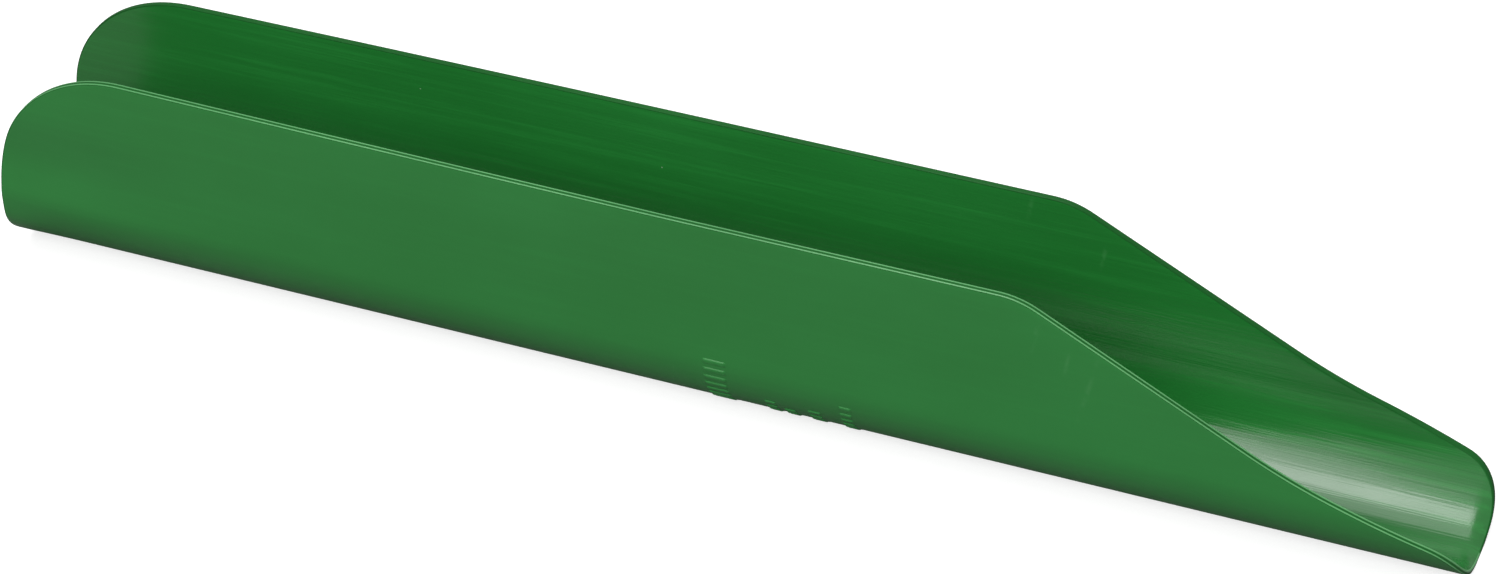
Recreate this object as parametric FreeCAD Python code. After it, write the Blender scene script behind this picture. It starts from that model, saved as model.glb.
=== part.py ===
import FreeCAD, Part

import math
import os

# Straight slide: an injection-moulded open trough with a U-shaped section, level along
# most of its length, whose two walls fall away towards a low lip at the far end.
# Millimetres. X runs along the trough from the feeding end to the lip, Y runs across it
# and Z is up. The origin is at the middle of the underside.

# --- Driving dimensions ---
length = 500.0             # feeding end to lip
width = 57.0               # across the outside, at its widest
height = 79.3              # underside to the top of the walls
wall = 2.3                 # thickness all round the section
base_width = 11.0          # flat strip along the underside, which the trough stands on
wall_lean = 1.0            # degrees by which each wall leans in towards its top

end_corner_radius = 47.0   # top corner of each wall at the feeding end

level_length = 355.7       # feeding end to the start of the fall, before blending
fall_length = 88.1         # along X, from there to the bend in the fall
bend_height = 33.7         # height of the walls at that bend
lip_height = 14.9          # height of the walls at the lip, before its corners are rounded
shoulder_radius = 28.0     # blend from the level top into the fall
bend_radius = 200.0        # blend at the bend in the fall
lip_corner_radius = 17.5   # corner where each wall meets the lip

lip_bevel_length = 5.0     # the inside face is bevelled over this length at the lip
lip_thickness = 1.3        # what the bevel leaves at the lip itself

mark_height = 0.4          # how far the moulded marks stand out
mark_bar = 1.9             # a bar's width around the section
mark_pitch = 3.6           # from one bar to the next, around the section
mark_start_angle = 23.5    # degrees round from straight down to the first bar
# Each group of bars: its distance from the feeding end, a bar's length, how many bars.
mark_groups = [
    (252.0, 7.8, 10),
    (271.8, 3.8, 6),
    (278.0, 3.8, 5),
    (286.5, 4.4, 6),
    (297.8, 4.2, 8),
]

# --- Derived values ---
rear = -length / 2
front = length / 2
bottom_radius = width / 2
# The round bottom is cut off level where it is as wide as the flat strip. The inside
# stays round all the way down.
centre_height = math.sqrt(bottom_radius ** 2 - (base_width / 2) ** 2)
base_angle = math.asin(base_width / 2 / bottom_radius)
lean = math.radians(wall_lean)
clear = 10.0               # how far cutting shapes run past what they cut
lip_overrun = 1.0          # how far the bevel's cutter runs past the lip


def point(y, z, x):
    return FreeCAD.Vector(x, y, z)


def around(radius, angle, x):
    """A point at this radius from the centre line, angle in radians from straight down."""
    return point(radius * math.sin(angle), centre_height - radius * math.cos(angle), x)


def line(a, b):
    return Part.LineSegment(a, b).toShape()


def u_section(radius, flat_angle, top, x):
    """A closed U of this bottom radius up to a height, cut off level below flat_angle."""
    wall_angle = math.pi / 2 + lean
    middle_angle = (flat_angle + wall_angle) / 2
    spring = around(radius, wall_angle, x)
    half_top = spring.y - (top - spring.z) * math.tan(lean)
    top_right = point(half_top, top, x)
    top_left = point(-half_top, top, x)
    right = Part.Arc(around(radius, flat_angle, x), around(radius, middle_angle, x), spring)
    left = Part.Arc(
        around(radius, -wall_angle, x),
        around(radius, -middle_angle, x),
        around(radius, -flat_angle, x),
    )
    edges = [
        right.toShape(),
        line(spring, top_right),
        line(top_right, top_left),
        line(top_left, around(radius, -wall_angle, x)),
        left.toShape(),
    ]
    if flat_angle > 0:
        edges.append(line(around(radius, -flat_angle, x), around(radius, flat_angle, x)))
    return Part.Wire(edges)


def inside_section(thickness, x):
    """The open space inside the walls, running up past their tops."""
    return u_section(bottom_radius - thickness, 0, height + clear, x)


def blended_outline(corners):
    """A closed face in the XZ plane from (x, z, blend radius) corners."""
    edges = []
    starts = []
    ends = []
    count = len(corners)
    for i in range(count):
        x, z, radius = corners[i]
        here = FreeCAD.Vector(x, 0, z)
        before = FreeCAD.Vector(corners[i - 1][0], 0, corners[i - 1][1])
        after = FreeCAD.Vector(corners[(i + 1) % count][0], 0, corners[(i + 1) % count][1])
        if radius == 0:
            starts.append(here)
            ends.append(here)
            edges.append(None)
            continue
        towards = (before - here).normalize()
        away = (after - here).normalize()
        half = towards.getAngle(away) / 2
        reach = radius / math.tan(half)
        start = here + towards * reach
        end = here + away * reach
        inwards = (towards + away).normalize()
        middle = here + inwards * (radius / math.sin(half) - radius)
        starts.append(start)
        ends.append(end)
        edges.append(Part.Arc(start, middle, end).toShape())
    outline = []
    for i in range(count):
        if edges[i] is not None:
            outline.append(edges[i])
        outline.append(line(ends[i], starts[(i + 1) % count]))
    return Part.Face(Part.Wire(outline))


def side_block():
    """What the walls keep, seen from the side, as a block right across the trough."""
    shoulder = rear + level_length
    outline = blended_outline([
        (rear, -clear, 0),
        (rear, height, end_corner_radius),
        (shoulder, height, shoulder_radius),
        (shoulder + fall_length, bend_height, bend_radius),
        (front, lip_height, lip_corner_radius),
        (front, -clear, 0),
    ])
    across = width + 2 * clear
    outline.translate(FreeCAD.Vector(0, -across / 2, 0))
    return outline.extrude(FreeCAD.Vector(0, across, 0))


def extruded(wire, run):
    return Part.Face(wire).extrude(FreeCAD.Vector(run, 0, 0))


def lip_cutter():
    """The bevel's wedge: the inside outline, widening towards the lip and past it."""
    slope = (wall - lip_thickness) / lip_bevel_length
    begin = inside_section(wall, front - lip_bevel_length)
    end = inside_section(lip_thickness - slope * lip_overrun, front + lip_overrun)
    return Part.makeLoft([begin, end], True, True)


def trough():
    outside = extruded(u_section(bottom_radius, base_angle, height, rear), length)
    inside = extruded(inside_section(wall, rear - clear), length + 2 * clear)
    body = outside.cut(inside).cut(lip_cutter()).common(side_block())
    return body.removeSplitter()


def mark(start, run, index):
    """One bar: a small raised patch on the round side, on the -Y half of the section."""
    centre = math.radians(mark_start_angle) + index * mark_pitch / bottom_radius
    half = mark_bar / 2 / bottom_radius
    x = rear + start
    outer = bottom_radius + mark_height
    inner = bottom_radius
    low = -(centre - half)
    middle = -centre
    high = -(centre + half)
    seat = Part.Arc(around(inner, low, x), around(inner, middle, x), around(inner, high, x))
    crown = Part.Arc(around(outer, high, x), around(outer, middle, x), around(outer, low, x))
    edges = [
        seat.toShape(),
        line(around(inner, high, x), around(outer, high, x)),
        crown.toShape(),
        line(around(outer, low, x), around(inner, low, x)),
    ]
    return extruded(Part.Wire(edges), run)


def moulded_marks():
    bars = []
    for start, run, count in mark_groups:
        for index in range(count):
            bars.append(mark(start, run, index))
    return Part.makeCompound(bars)


def main():
    os.makedirs("parts", exist_ok=True)
    nodes = {"trough": trough(), "moulded_marks": moulded_marks()}
    for name, shape in nodes.items():
        print(name, len(shape.Solids), "solids, valid:", shape.isValid())
        shape.exportStep("parts/" + name + ".step")


main()
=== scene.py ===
import math

import bmesh
import bpy
import numpy as np
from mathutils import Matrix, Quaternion, Vector


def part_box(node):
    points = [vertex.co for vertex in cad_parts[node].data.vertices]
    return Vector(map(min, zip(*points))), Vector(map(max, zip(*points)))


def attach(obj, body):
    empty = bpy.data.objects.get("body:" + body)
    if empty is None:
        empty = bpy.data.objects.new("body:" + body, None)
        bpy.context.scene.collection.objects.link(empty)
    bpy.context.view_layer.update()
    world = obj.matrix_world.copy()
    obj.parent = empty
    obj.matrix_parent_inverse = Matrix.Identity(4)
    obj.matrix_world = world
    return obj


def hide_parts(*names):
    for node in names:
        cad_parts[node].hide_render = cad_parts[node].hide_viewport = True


# The looks of the straight slide: one green moulded trough, on a plain pale floor.
# Metres throughout. The trough's place and overall sizes come from the frame.

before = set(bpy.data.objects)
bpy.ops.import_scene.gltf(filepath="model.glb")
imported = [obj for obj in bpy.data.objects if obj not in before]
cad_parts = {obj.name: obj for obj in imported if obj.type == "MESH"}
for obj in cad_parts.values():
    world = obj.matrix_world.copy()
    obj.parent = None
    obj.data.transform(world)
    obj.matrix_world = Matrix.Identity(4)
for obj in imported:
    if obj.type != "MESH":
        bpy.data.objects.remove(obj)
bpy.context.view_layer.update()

MM = 0.001

# --- The trough's sizes, as in the CAD model ---
trough_low, trough_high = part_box("trough")
REAR, FRONT = trough_low[0], trough_high[0]
HEIGHT = trough_high[2]
BOTTOM_RADIUS = (trough_high[1] - trough_low[1]) / 2
WALL = 2.3 * MM
HALF_BASE = 5.5 * MM
LEAN = math.radians(1.0)
END_CORNER_RADIUS = 47.0 * MM
SHOULDER = REAR + 355.7 * MM
BEND = SHOULDER + 88.1 * MM
BEND_HEIGHT = 33.7 * MM
LIP_HEIGHT = 14.9 * MM
SHOULDER_RADIUS = 28.0 * MM
BEND_RADIUS = 200.0 * MM
LIP_CORNER_RADIUS = 17.5 * MM
LIP_BEVEL = 5.0 * MM
LIP_THICKNESS = 1.3 * MM

CENTRE_HEIGHT = math.sqrt(BOTTOM_RADIUS ** 2 - HALF_BASE ** 2)
LOWEST = CENTRE_HEIGHT - BOTTOM_RADIUS   # of the round, before the flat strip cuts it
WALL_ANGLE = math.pi / 2 + LEAN
ARC_LENGTH = BOTTOM_RADIUS * WALL_ANGLE

# --- How finely the shell is divided ---
STATIONS = 260             # along the trough
AROUND = 44                # from the middle of the bottom to the top of one wall
GIRTH_SAMPLES = 4000       # of the table from height to girth
OUTLINE_STEP = 0.1 * MM    # along the arcs of the side outline
OUTLINE_SAMPLES = 1500     # along each part of it, before it is spaced evenly
SAME_X = 1e-7              # a point this near an end in x is on the end's straight part
MERGE_DISTANCE = 0.004 * MM

# --- The free edges ---
EDGE_ROUND = 0.45 * MM     # rounding of the free edges
EDGE_STEPS = 3             # points inside each rounding
ROUND_SHARE = 0.35         # the most of the edge's width that one rounding takes
HIGHLIGHT_SHARE = 0.28          # how much of the flat between the roundings takes the painted highlight


# ----------------------------------------------------------------------------
# The section: a round bottom and two straight walls
# ----------------------------------------------------------------------------

def section_point(girth, inset):
    """Y and Z at a distance girth round the outside, moved inwards by inset."""
    angle = np.minimum(girth, ARC_LENGTH) / BOTTOM_RADIUS
    rise = np.maximum(girth - ARC_LENGTH, 0)
    radius = BOTTOM_RADIUS - inset
    y = radius * np.sin(angle) - rise * math.sin(LEAN)
    z = CENTRE_HEIGHT - radius * np.cos(angle) + rise * math.cos(LEAN)
    return y, z


GIRTHS = np.linspace(0, ARC_LENGTH + HEIGHT, GIRTH_SAMPLES)


def girth_at(z, inset):
    """How far round the section the height z is."""
    return np.array([np.interp(h, section_point(GIRTHS, i)[1], GIRTHS)
                     for h, i in zip(z, inset)])


def inset_inside(x):
    """The wall's thickness, which rolls off to the lip."""
    near_lip = np.clip((x - (FRONT - LIP_BEVEL)) / LIP_BEVEL, 0, 1)
    return WALL - (WALL - LIP_THICKNESS) * near_lip ** 2


# ----------------------------------------------------------------------------
# The side outline
# ----------------------------------------------------------------------------

def blended_path(corners):
    """Points along a path in the XZ plane, whose corners are (x, z, blend radius)."""
    points = []
    for i, (x, z, radius) in enumerate(corners):
        here = np.array((x, z))
        if radius == 0:
            points.append(here)
            continue
        towards = np.array(corners[i - 1][:2]) - here
        away = np.array(corners[i + 1][:2]) - here
        towards = towards / np.linalg.norm(towards)
        away = away / np.linalg.norm(away)
        half = math.acos(np.clip(towards @ away, -1, 1)) / 2
        middle = (towards + away) / np.linalg.norm(towards + away)
        centre = here + middle * radius / math.sin(half)
        start = here + towards * radius / math.tan(half) - centre
        turn = math.pi - 2 * half
        if start[0] * towards[1] - start[1] * towards[0] > 0:
            turn = -turn
        steps = max(int(abs(turn) * radius / OUTLINE_STEP), 1)
        for angle in np.linspace(0, turn, steps + 1):
            c, s = math.cos(angle), math.sin(angle)
            points.append(centre + (c * start[0] - s * start[1], s * start[0] + c * start[1]))
    return np.array(points)


def evenly(path, count):
    """count points evenly spaced along a path."""
    gaps = np.linalg.norm(np.diff(path, axis=0), axis=1)
    along = np.concatenate(([0], np.cumsum(gaps)))
    wanted = np.linspace(0, along[-1], count)
    return np.column_stack([np.interp(wanted, along, column) for column in path.T])


def side_parts(trim):
    """The side outline, trimmed all round, in three parts that meet half way round the
    end corner and the lip corner: up the feeding end, along the top, down the lip."""
    path = blended_path([
        (REAR + trim, LOWEST, 0),
        (REAR + trim, HEIGHT - trim, END_CORNER_RADIUS - trim),
        (SHOULDER, HEIGHT - trim, SHOULDER_RADIUS - trim),
        (BEND, BEND_HEIGHT - trim, BEND_RADIUS + trim),
        (FRONT - trim, LIP_HEIGHT - trim, LIP_CORNER_RADIUS - trim),
        (FRONT - trim, LOWEST, 0),
    ])
    run = np.diff(path, axis=0)
    steepness = np.degrees(np.arctan2(run[:, 1], run[:, 0]))
    gentle = -np.degrees(math.atan((BEND_HEIGHT - LIP_HEIGHT) / (FRONT - BEND)))
    # The end corner turns from 90 degrees to 0, the lip corner from gentle to -90.
    first = int(np.argmax(steepness < 45))
    last = len(run) - int(np.argmax(steepness[::-1] > (gentle - 90) / 2))
    return path[:first + 1], path[first:last + 1], path[last:]


def edge_curves(trim, inside):
    """x and girth along the three parts of a surface's edge: up from the bottom at each
    end, and from rear to lip along the top."""
    curves = []
    ends = (REAR + trim, None, FRONT - trim)
    for part, end, count in zip(side_parts(trim), ends, (AROUND, STATIONS, AROUND)):
        x, z = evenly(part, OUTLINE_SAMPLES).T
        outer = girth_at(z, np.zeros_like(z))
        x, z, outer = evenly(np.column_stack((x, z, outer)), count).T
        girth = outer
        if inside:
            girth = girth_at(z, inset_inside(x))
            if end is not None:
                # Across an end, the inside edge keeps pace with the outside edge.
                flat = np.abs(x - end) < SAME_X
                corner = np.argmax(z * flat)
                girth = np.where(flat, outer * girth[corner] / outer[corner], girth)
        curves.append(np.column_stack((x, girth)))
    curves[2] = curves[2][::-1]
    return curves


def smooth_grid(rear, top, lip):
    """A grid over half the trough between the edge curves and the middle of the bottom."""
    bottom = np.linspace(rear[0], lip[0], STATIONS)
    u = np.linspace(0, 1, STATIONS)[:, None, None]
    v = np.linspace(0, 1, AROUND)[None, :, None]
    across = (1 - v) * bottom[:, None] + v * top[:, None]
    along = (1 - u) * rear[None] + u * lip[None]
    rear_corners = (1 - v) * rear[0] + v * rear[-1]
    lip_corners = (1 - v) * lip[0] + v * lip[-1]
    return across + along - ((1 - u) * rear_corners + u * lip_corners)


def place(x_and_girth, inside):
    """Points in space for x and girth, on the outside or the inside surface."""
    x = x_and_girth[..., 0]
    inset = inset_inside(x) if inside else np.zeros_like(x)
    y, z = section_point(x_and_girth[..., 1], inset)
    if not inside:
        # The flat strip along the underside.
        z = np.maximum(z, 0)
    return np.stack((x, y, z), axis=-1)


def edge_loop(trim, inside):
    """Points along a surface's whole free edge, from bottom to bottom."""
    rear, top, lip = edge_curves(trim, inside)
    loop = np.concatenate((rear, top[1:], lip[::-1][1:]))
    return place(loop, inside)


def rounded_rim():
    """Rows of points across the free edge: rounded outside, flat, rounded inside. One more
    row divides the flat where its part with the painted highlight begins."""
    outer_corner, inner_corner = edge_loop(0, False), edge_loop(0, True)
    across = inner_corner - outer_corner
    width = np.linalg.norm(across, axis=1, keepdims=True)
    across = across / width
    reach = np.minimum(EDGE_ROUND, width * ROUND_SHARE)
    sides = []
    for corner, start, flat in (
        (outer_corner, edge_loop(EDGE_ROUND, False), outer_corner + across * reach),
        (inner_corner, edge_loop(EDGE_ROUND, True), inner_corner - across * reach),
    ):
        sides.append([
            (1 - t) ** 2 * start + 2 * t * (1 - t) * corner + t ** 2 * flat
            for t in np.linspace(0, 1, EDGE_STEPS + 2)
        ])
    outer_side, inner_side = sides
    highlight_row = inner_side[-1] + (outer_side[-1] - inner_side[-1]) * HIGHLIGHT_SHARE
    return np.array(outer_side + [highlight_row] + inner_side[::-1])


# ----------------------------------------------------------------------------
# The walls' slight moulding warp
# ----------------------------------------------------------------------------

# How much further than the CAD walls each wall's top leans in, along the level run.
WARP_X = np.array((0, 119, 178, 238, 357)) * MM + REAR
WARP_NEAR = np.array((2.2, 0.5, -0.25, -0.8, -0.8)) * MM
WARP_FAR = np.array((1.3, 0.3, 0.0, -0.1, 0.0)) * MM

# Swells of the near wall at the feeding end: how far in, the height of the middle, how
# far up and down it reaches from there, and how far along the trough.
NEAR_SWELLS = [
    (1.5 * MM, 42 * MM, 20 * MM, 90 * MM),
    (-1.3 * MM, 14 * MM, 11 * MM, 22 * MM),
]


def swell(value, middle, reach):
    """A smooth hump: 1 at the middle, 0 from reach away."""
    away = np.clip(np.abs(value - middle) / reach, 0, 1)
    return (1 + np.cos(np.pi * away)) / 2


def warped(points):
    """The points, each wall's moved in or out across the trough by the warp."""
    x, y, z = points.T
    lift = np.clip((z - CENTRE_HEIGHT) / (HEIGHT - CENTRE_HEIGHT), 0, 1)
    near = np.interp(x, WARP_X, WARP_NEAR) * lift
    far = np.interp(x, WARP_X, WARP_FAR) * lift
    for inwards, middle, reach, run in NEAR_SWELLS:
        near += inwards * swell(z, middle, reach) * swell(x, REAR, run)
    return np.column_stack((x, y + np.where(y < 0, near, -far), z))


# ----------------------------------------------------------------------------
# The shell's mesh
# ----------------------------------------------------------------------------

# Material slots of the shell.
OUTSIDE, INSIDE, RIM, PAINTED_HIGHLIGHT_EDGE = range(4)

# Strips across the rim without the painted highlight, which keep the rim's painted shade: the
# outermost, and the flat's outer part.
UNHIGHLIGHTED_STRIPS = (0, EDGE_STEPS + 1)


def grid_faces(rows, columns, flip):
    """Faces over a grid of points, row by row."""
    faces = []
    for i in range(rows - 1):
        for j in range(columns - 1):
            a = i * columns + j
            face = (a, a + columns, a + columns + 1, a + 1)
            faces.append(face[::-1] if flip else face)
    return faces


def half_shell():
    """The far half of the shell: its points, its faces and the faces' material slots, with
    the rim's as they are on the near half, with its painted highlight."""
    outside = place(smooth_grid(*edge_curves(EDGE_ROUND, False)), False)
    inside = place(smooth_grid(*edge_curves(EDGE_ROUND, True)), True)
    points, faces, slots = [], [], []
    for sheet, flip, slot in (
        (outside, False, OUTSIDE),
        (inside, True, INSIDE),
        (rounded_rim(), True, RIM),
    ):
        start = len(points)
        rows, columns = sheet.shape[:2]
        points.extend(sheet.reshape(-1, 3))
        faces.extend(
            tuple(start + k for k in face) for face in grid_faces(rows, columns, flip)
        )
        for strip in range(rows - 1):
            # Painted highlight: the near rim's roundings and the inner part of its flat take
            # a paler, glossier green.
            highlighted = slot == RIM and strip not in UNHIGHLIGHTED_STRIPS
            slots.extend([PAINTED_HIGHLIGHT_EDGE if highlighted else slot] * (columns - 1))
    return np.array(points), faces, slots


def shell_mesh():
    """The whole shell: the far half, then the same mirrored as the near half."""
    far_points, far_faces, near_slots = half_shell()
    points = warped(np.concatenate((far_points, far_points * (1, -1, 1))))
    half = len(far_points)
    near_faces = [tuple(half + k for k in face[::-1]) for face in far_faces]
    # The far rim takes the rim's painted shade all across, without the near rim's painted
    # highlight.
    far_slots = [RIM if slot == PAINTED_HIGHLIGHT_EDGE else slot for slot in near_slots]
    mesh = bpy.data.meshes.new("trough_shell")
    mesh.from_pydata(points.tolist(), [], far_faces + near_faces)
    mesh.polygons.foreach_set("material_index", far_slots + near_slots)
    work = bmesh.new()
    work.from_mesh(mesh)
    bmesh.ops.remove_doubles(work, verts=work.verts, dist=MERGE_DISTANCE)
    bmesh.ops.recalc_face_normals(work, faces=work.faces)
    work.to_mesh(mesh)
    work.free()
    mesh.shade_smooth()
    return mesh


shell = bpy.data.objects.new("trough_shell", shell_mesh())
bpy.context.collection.objects.link(shell)
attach(shell, "root")
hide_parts("trough")


# ----------------------------------------------------------------------------
# The moulded marks
# ----------------------------------------------------------------------------

MARK_HEIGHT = 0.4 * MM
MARK_BAR = 1.9 * MM        # a bar's width around the section
MARK_ROUNDING = 0.4 * MM   # the slope from a bar's edge to its full height
MARK_SINK = 0.02 * MM      # how far a bar's foot is under the trough's surface
MARK_PITCH = 3.6 * MM
MARK_START = math.radians(23.5) * BOTTOM_RADIUS
MARK_ROWS, MARK_COLUMNS = 15, 11   # points along a bar and across it

# Each group of bars: its distance from the feeding end and a bar's length, in millimetres,
# and how many bars.
MARK_GROUPS = [
    (252.0, 7.8, 10),
    (271.8, 3.8, 6),
    (278.0, 3.8, 5),
    (286.5, 4.4, 6),
    (297.8, 4.2, 8),
]


def bar_points(start, length, centre):
    """A grid of points over one bar: along it from x = start, and across it from its
    centre, a girth. The bar is on the near side of the round bottom."""
    points = []
    for u in np.linspace(-1, 1, MARK_ROWS):
        for v in np.linspace(-1, 1, MARK_COLUMNS):
            to_end = (1 - abs(u)) * length / 2
            to_side = (1 - abs(v)) * MARK_BAR / 2
            full = min(to_end, to_side, MARK_ROUNDING) / MARK_ROUNDING
            raised = MARK_HEIGHT * math.sin(full * math.pi / 2) - MARK_SINK
            y, z = section_point(centre + v * MARK_BAR / 2, -raised)
            points.append((start + (u + 1) / 2 * length, -float(y), float(z)))
    return points


def marks_mesh():
    """Each mark is a soft-edged raised bar."""
    points, faces = [], []
    grid = grid_faces(MARK_ROWS, MARK_COLUMNS, True)
    for start, length, count in MARK_GROUPS:
        for index in range(count):
            first = len(points)
            centre = MARK_START + index * MARK_PITCH
            points.extend(bar_points(REAR + start * MM, length * MM, centre))
            faces.extend(tuple(first + k for k in face) for face in grid)
    mesh = bpy.data.meshes.new("raised_marks")
    mesh.from_pydata(points, [], faces)
    mesh.shade_smooth()
    return mesh


marks = bpy.data.objects.new("raised_marks", marks_mesh())
bpy.context.collection.objects.link(marks)
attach(marks, "root")
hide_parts("moulded_marks")


# ----------------------------------------------------------------------------
# Material: glossy green moulded plastic
# ----------------------------------------------------------------------------

# Noise patterns: scale (per metre), stretch along each axis, detail and roughness.
BROAD = (8.0, (0.7, 1, 1), 1.0, 0.5)
MOTTLE = (26.0, (0.5, 1, 1), 3.0, 0.5)
DRAWN_LINES = (420.0, (0.03, 1, 1), 4.0, 0.65)
CLOUD = (45.0, (0.4, 1, 1), 4.0, 0.6)
SPECK_SIZES = (60.0, (1, 1, 1), 2.0, 0.5)
STREAK_BREAKS = (260.0, (1, 1, 1), 2.0, 0.5)
GRAIN = (1500.0, (1, 1, 1), 2.0, 0.5)
CROSS_LINES = (900.0, (1, 0.06, 0.06), 2.0, 0.5)
HAIRLINES = (1500.0, (0.02, 1, 1), 1.0, 0.5)
WAVE = (14.0, (0.6, 1, 1), 1.0, 0.5)

# The span of each pattern's values over which what it controls goes from none to all.
MOTTLE_SPAN = (0.7, 1.3)
DRAWN_SPAN = (0.45, 0.75)
CLOUD_SPAN = (0.3, 0.7)
SPECK_SPAN = (0.5, 0.65)
STREAK_SPAN = (0.35, 0.6)

# How high each pattern stands, and how much more of it there is where there are scuffs.
GRAIN_HEIGHT = 0.010 * MM
DRAWN_HEIGHT = 0.012 * MM
DRAWN_SCUFFS = 0.022 * MM
CROSS_SCUFFS = 0.003 * MM
HAIRLINE_SCUFFS = 0.055 * MM
WAVE_HEIGHT = 0.35 * MM

DRAWN_PALENESS = 0.08      # how far the drawn lines are paler than the plastic
DRAWN_SCUFF_PALENESS = 0.18
PALER = 1.6                # the drawn lines' colour, over the plastic's paler one

SPECK_SCALE = 70.0         # cells per metre, with a dust speck at most in each
SPECK_RADIUS = 0.026       # of the largest, in cells
SPECK_STRENGTH = 0.7
SPECK_ROUGHNESS = 0.2
SPECK_COLOUR = (0.25, 0.40, 0.26)

STREAK_FADE = 6.0          # millimetres over which a streak's ends fade
STREAK_STRENGTH = 0.22
STREAK_COLOUR = (0.09, 0.32, 0.11)

# Painted shade: the inside turns a little greyer and darker towards the lip.
LIP_PAINTED_SHADE_FROM = FRONT - 100 * MM
LIP_PAINTED_SHADE_TO = FRONT - 35 * MM
LIP_PAINTED_SHADE_STRENGTH = 0.28
LIP_PAINTED_SHADE_COLOUR = (0.014, 0.03, 0.016)

ROUGHNESS_BELOW, ROUGHNESS_ABOVE = 0.03, 0.05   # how far clouding changes the roughness


def opaque(colour):
    return tuple(colour) + (1.0,)


class Nodes:
    """Short ways to add nodes to one material."""

    def __init__(self, name):
        self.material = bpy.data.materials.new(name)
        self.material.use_nodes = True
        self.tree = self.material.node_tree
        self.shader = self.tree.nodes["Principled BSDF"]
        self.position = self.add("ShaderNodeTexCoord").outputs["Object"]

    def add(self, kind, **settings):
        node = self.tree.nodes.new(kind)
        for key, value in settings.items():
            setattr(node, key, value)
        return node

    def join(self, source, socket):
        if isinstance(source, (int, float, tuple)):
            socket.default_value = source
        else:
            self.tree.links.new(source, socket)

    def xyz(self):
        node = self.add("ShaderNodeSeparateXYZ")
        self.join(self.position, node.inputs[0])
        return node.outputs

    def math(self, operation, a, b=0.0):
        node = self.add("ShaderNodeMath", operation=operation)
        self.join(a, node.inputs[0])
        self.join(b, node.inputs[1])
        return node.outputs[0]

    def spread(self, value, low, high, to_low=0.0, to_high=1.0):
        """value from low to high becomes to_low to to_high, smoothly."""
        node = self.add("ShaderNodeMapRange", interpolation_type="SMOOTHSTEP")
        for source, socket in zip((value, low, high, to_low, to_high), node.inputs):
            self.join(source, socket)
        return node.outputs[0]

    def noise(self, pattern):
        scale, stretch, detail, roughness = pattern
        mapping = self.add("ShaderNodeMapping")
        self.join(self.position, mapping.inputs["Vector"])
        mapping.inputs["Scale"].default_value = stretch
        node = self.add("ShaderNodeTexNoise")
        self.join(mapping.outputs[0], node.inputs["Vector"])
        node.inputs["Scale"].default_value = scale
        node.inputs["Detail"].default_value = detail
        node.inputs["Roughness"].default_value = roughness
        return node.outputs["Fac"]

    def blend(self, amount, a, b):
        """From colour a to colour b. The Mix node's colour sockets share their names with
        its other sockets, so they are found by number."""
        node = self.add("ShaderNodeMix", data_type="RGBA")
        self.join(amount, node.inputs[0])
        self.join(a, node.inputs[6])
        self.join(b, node.inputs[7])
        return node.outputs[2]


def streak_mask(nodes, streaks):
    """Where faint pale marks run up a wall. Each is x, slant, lowest z, highest z and
    width, in millimetres apart from the slant."""
    x, _, z = nodes.xyz()
    total = 0.0
    for at, slant, bottom, top, width in streaks:
        foot = (at - slant * bottom) * MM
        line = nodes.math("ADD", foot, nodes.math("MULTIPLY", z, slant))
        gap = nodes.math("ABSOLUTE", nodes.math("SUBTRACT", x, line))
        across = nodes.spread(gap, 0.0, width * MM, 1.0, 0.0)
        up = nodes.spread(z, bottom * MM, (bottom + STREAK_FADE) * MM)
        down = nodes.spread(z, (top - STREAK_FADE) * MM, top * MM, 1.0, 0.0)
        mark = nodes.math("MULTIPLY", across, nodes.math("MULTIPLY", up, down))
        total = nodes.math("MAXIMUM", total, mark)
    broken = nodes.spread(nodes.noise(STREAK_BREAKS), *STREAK_SPAN)
    return nodes.math("MULTIPLY", total, broken)


def plastic_colour(nodes, deep, pale, drawn, dust, scuffs, streaks):
    """Mottled between two colours, with drawn lines, dust and streaks over it, and, with
    scuffs, painted shade towards the lip.
    """
    mottle = nodes.math("ADD", nodes.noise(MOTTLE), nodes.noise(BROAD))
    colour = nodes.blend(nodes.spread(mottle, *MOTTLE_SPAN), opaque(deep), opaque(pale))
    if scuffs:
        # Painted shade, greyer and darker towards the lip; the scuffs switch it on.
        painted_lip_shade = nodes.spread(
            nodes.xyz()[0], LIP_PAINTED_SHADE_FROM, LIP_PAINTED_SHADE_TO, 0.0, LIP_PAINTED_SHADE_STRENGTH
        )
        colour = nodes.blend(painted_lip_shade, colour, opaque(LIP_PAINTED_SHADE_COLOUR))
    paleness = DRAWN_PALENESS + DRAWN_SCUFF_PALENESS * scuffs
    faint = nodes.math("MULTIPLY", nodes.spread(drawn, *DRAWN_SPAN), paleness)
    colour = nodes.blend(faint, colour, opaque(PALER * c for c in pale))
    speckled = nodes.math("MULTIPLY", dust, SPECK_STRENGTH)
    colour = nodes.blend(speckled, colour, opaque(SPECK_COLOUR))
    if streaks:
        streaked = nodes.math("MULTIPLY", streak_mask(nodes, streaks), STREAK_STRENGTH)
        colour = nodes.blend(streaked, colour, opaque(STREAK_COLOUR))
    return colour


def dust_specks(nodes):
    """1 on scattered specks of different sizes, 0 elsewhere."""
    cells = nodes.add("ShaderNodeTexVoronoi")
    nodes.join(nodes.position, cells.inputs["Vector"])
    cells.inputs["Scale"].default_value = SPECK_SCALE
    radius = nodes.spread(nodes.noise(SPECK_SIZES), *SPECK_SPAN, 0.0, SPECK_RADIUS)
    return nodes.math("LESS_THAN", cells.outputs["Distance"], radius)


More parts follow.
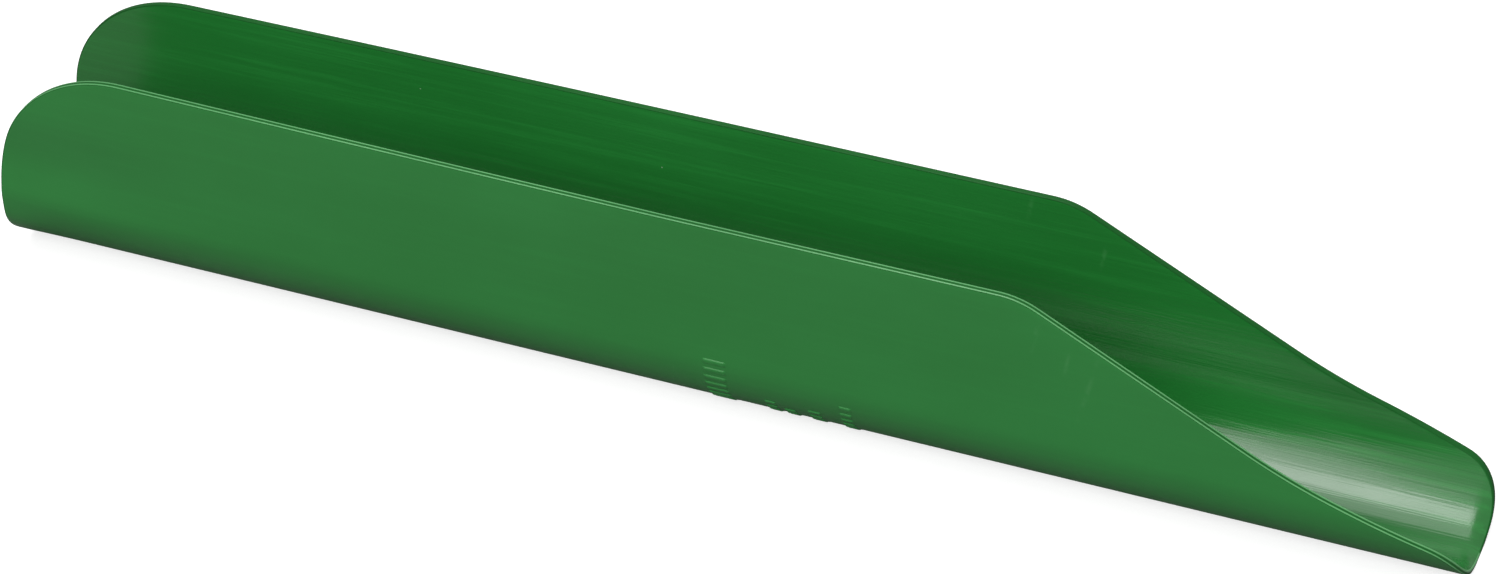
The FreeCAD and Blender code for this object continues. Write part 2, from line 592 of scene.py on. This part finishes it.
def plastic_bump(nodes, drawn, scuffs):
    """The surface's relief: each pattern times how high it stands, added up."""
    patterns = [
        (nodes.noise(GRAIN), GRAIN_HEIGHT),
        (drawn, DRAWN_HEIGHT + DRAWN_SCUFFS * scuffs),
        (nodes.noise(WAVE), WAVE_HEIGHT),
    ]
    if scuffs:
        patterns.append((nodes.noise(CROSS_LINES), CROSS_SCUFFS * scuffs))
        patterns.append((nodes.noise(HAIRLINES), HAIRLINE_SCUFFS * scuffs))
    height = 0.0
    for pattern, stands in patterns:
        height = nodes.math("ADD", height, nodes.math("MULTIPLY", pattern, stands))
    bump = nodes.add("ShaderNodeBump")
    bump.inputs["Strength"].default_value = 1.0
    bump.inputs["Distance"].default_value = 1.0
    nodes.join(height, bump.inputs["Height"])
    return bump.outputs[0]


def plastic(name, deep, pale, roughness, gloss=0.75, scuffs=0.0, streaks=()):
    """Green plastic between two colours, with fine grain, specks, and scuffs along it."""
    nodes = Nodes(name)
    drawn = nodes.noise(DRAWN_LINES)
    dust = dust_specks(nodes)
    colour = plastic_colour(nodes, deep, pale, drawn, dust, scuffs, streaks)
    nodes.join(colour, nodes.shader.inputs["Base Color"])
    clouded = nodes.spread(
        nodes.noise(CLOUD), *CLOUD_SPAN,
        roughness - ROUGHNESS_BELOW, roughness + ROUGHNESS_ABOVE,
    )
    dusty = nodes.math("MULTIPLY", dust, SPECK_ROUGHNESS)
    nodes.join(nodes.math("ADD", clouded, dusty), nodes.shader.inputs["Roughness"])
    nodes.shader.inputs["Specular IOR Level"].default_value = gloss
    nodes.join(plastic_bump(nodes, drawn, scuffs), nodes.shader.inputs["Normal"])
    return nodes.material


outside_plastic = plastic(
    "green_outside", (0.0175, 0.190, 0.032), (0.0215, 0.215, 0.040), 0.36,
    streaks=(
        (110.5, 0.14, 58.0, 76.0, 1.2),
        (126.0, 0.22, 36.0, 66.0, 1.3),
        (121.0, 0.16, 52.0, 66.0, 1.0),
        (-10.5, 0.17, 8.0, 25.0, 0.4),
    ),
)
inside_plastic = plastic(
    "green_inside", (0.0145, 0.170, 0.027), (0.0185, 0.194, 0.034), 0.175,
    scuffs=1.0,
    streaks=(
        (91.0, 0.14, 68.0, 80.0, 1.2),
        (115.5, 0.15, 54.0, 68.0, 1.2),
    ),
)
# Painted shade: the rim is a much darker green, so its upward face stays as dark as the walls
# under the light from above.
rim_painted_shade_plastic = plastic(
    "green_rim_painted_shade", (0.006, 0.080, 0.012), (0.008, 0.095, 0.015), 0.42, gloss=0.15
)
# Painted highlight: a paler, glossier green for the light lines along the near rim's edges.
painted_highlight_plastic = plastic(
    "green_painted_highlight_edge", (0.06, 0.25, 0.08), (0.10, 0.33, 0.12), 0.34, gloss=0.5
)

# In the order of the shell's material slots.
for material in (outside_plastic, inside_plastic, rim_painted_shade_plastic, painted_highlight_plastic):
    shell.data.materials.append(material)
marks.data.materials.append(outside_plastic)
# The CAD nodes are hidden, and take the same plastic as the pieces that stand for them.
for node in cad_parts.values():
    node.data.materials.clear()
    node.data.materials.append(outside_plastic)


# ----------------------------------------------------------------------------
# Studio
# ----------------------------------------------------------------------------

FLOOR_REACH = 6.0
FLOOR_TO_LIGHT = 0.09      # how pale the floor is to the light that bounces off it,
FLOOR_IN_GLOSS = 0.20      # in reflections,
FLOOR_SEEN = 0.5           # and to the camera,
FLOOR_GLOW = 0.7           # with this much glow of its own there


def grey(value):
    return opaque((value, value, value))


def pale_floor():
    """A floor that looks white to the camera but throws little light up at the trough."""
    mesh = bpy.data.meshes.new("floor")
    corners = [(-1, -1), (1, -1), (1, 1), (-1, 1)]
    mesh.from_pydata(
        [(x * FLOOR_REACH, y * FLOOR_REACH, 0) for x, y in corners], [], [(0, 1, 2, 3)]
    )
    floor = bpy.data.objects.new("floor", mesh)
    bpy.context.collection.objects.link(floor)
    nodes = Nodes("pale_floor")
    ray = nodes.add("ShaderNodeLightPath")
    seen, glossy = ray.outputs["Is Camera Ray"], ray.outputs["Is Glossy Ray"]
    colour = nodes.blend(glossy, grey(FLOOR_TO_LIGHT), grey(FLOOR_IN_GLOSS))
    colour = nodes.blend(seen, colour, grey(FLOOR_SEEN))
    nodes.join(colour, nodes.shader.inputs["Base Color"])
    glow = nodes.math("MULTIPLY", seen, FLOOR_GLOW)
    nodes.join(glow, nodes.shader.inputs["Emission Strength"])
    nodes.shader.inputs["Emission Color"].default_value = grey(1.0)
    nodes.shader.inputs["Roughness"].default_value = 0.9
    nodes.shader.inputs["Specular IOR Level"].default_value = 0.0
    mesh.materials.append(nodes.material)


pale_floor()


def soft_light(name, place, aim, size, radiance, in_gloss=True, twist=0.0):
    """A softbox that looks this bright, against a white of 1. twist is in degrees."""
    data = bpy.data.lights.new(name, "AREA")
    data.shape = "RECTANGLE"
    data.size, data.size_y = size
    data.energy = radiance * math.pi * size[0] * size[1]
    light = bpy.data.objects.new(name, data)
    light.location = place
    facing = (Vector(aim) - Vector(place)).to_track_quat("-Z", "Y")
    light.rotation_euler = (facing @ Quaternion((0, 0, 1), math.radians(twist))).to_euler()
    light.visible_glossy = in_gloss
    bpy.context.collection.objects.link(light)


# The softboxes that show in the plastic's gloss face straight down from one height. The
# three in front meet end to end, and their right edges make the slanting edge of the
# bright band by the lip. Each: name, x and y of its middle, size, radiance and twist.
SOFTBOX_HEIGHT = 1.0
SOFTBOXES = [
    ("overhead", 0.0, -0.04, (0.30, 0.44), 5.9, 0.0),
    ("overhead_left", -0.45, -0.03, (0.57, 0.25), 3.4, 0.0),
    ("front_near", -0.12, -0.48, (0.36, 0.44), 3.6, -8.5),
    ("front_middle", -0.19, -0.925, (0.36, 0.45), 1.9, -8.5),
    ("front_far", -0.305, -1.70, (0.36, 1.1), 1.1, -8.5),
    ("overhead_back", 0.02, 0.42, (0.34, 0.48), 1.8, 0.0),
]
for name, x, y, size, radiance, twist in SOFTBOXES:
    soft_light(name, (x, y, SOFTBOX_HEIGHT), (x, y, 0), size, radiance, twist=twist)

# These light the trough from the front and the back, and don't show in its gloss.
TROUGH_MIDDLE = (0, 0, 0.03)
soft_light("fill", (0.2, -1.48, 1.26), TROUGH_MIDDLE, (1.5, 1.0), 4.85, in_gloss=False)
soft_light("back_fill", (-0.3, 1.6, 1.3), TROUGH_MIDDLE, (1.6, 1.2), 2.2, in_gloss=False)

world = bpy.data.worlds.new("studio")
world.use_nodes = True
background = world.node_tree.nodes["Background"]
background.inputs["Color"].default_value = grey(1.0)
background.inputs["Strength"].default_value = 0.37
bpy.context.scene.world = world

# --- Camera ---
CAMERA_AT = Vector((0.43368, -1.09197, 0.91188))
CAMERA_TARGET = Vector((0.00827, -0.00283, 0.04))
camera_data = bpy.data.cameras.new("camera")
camera_data.sensor_width = 36.0
camera_data.lens = 109.55
camera = bpy.data.objects.new("camera", camera_data)
camera.location = CAMERA_AT
camera.rotation_euler = (CAMERA_TARGET - CAMERA_AT).to_track_quat("-Z", "Y").to_euler()
bpy.context.collection.objects.link(camera)
bpy.context.scene.camera = camera

bpy.context.scene.view_settings.view_transform = "Standard"
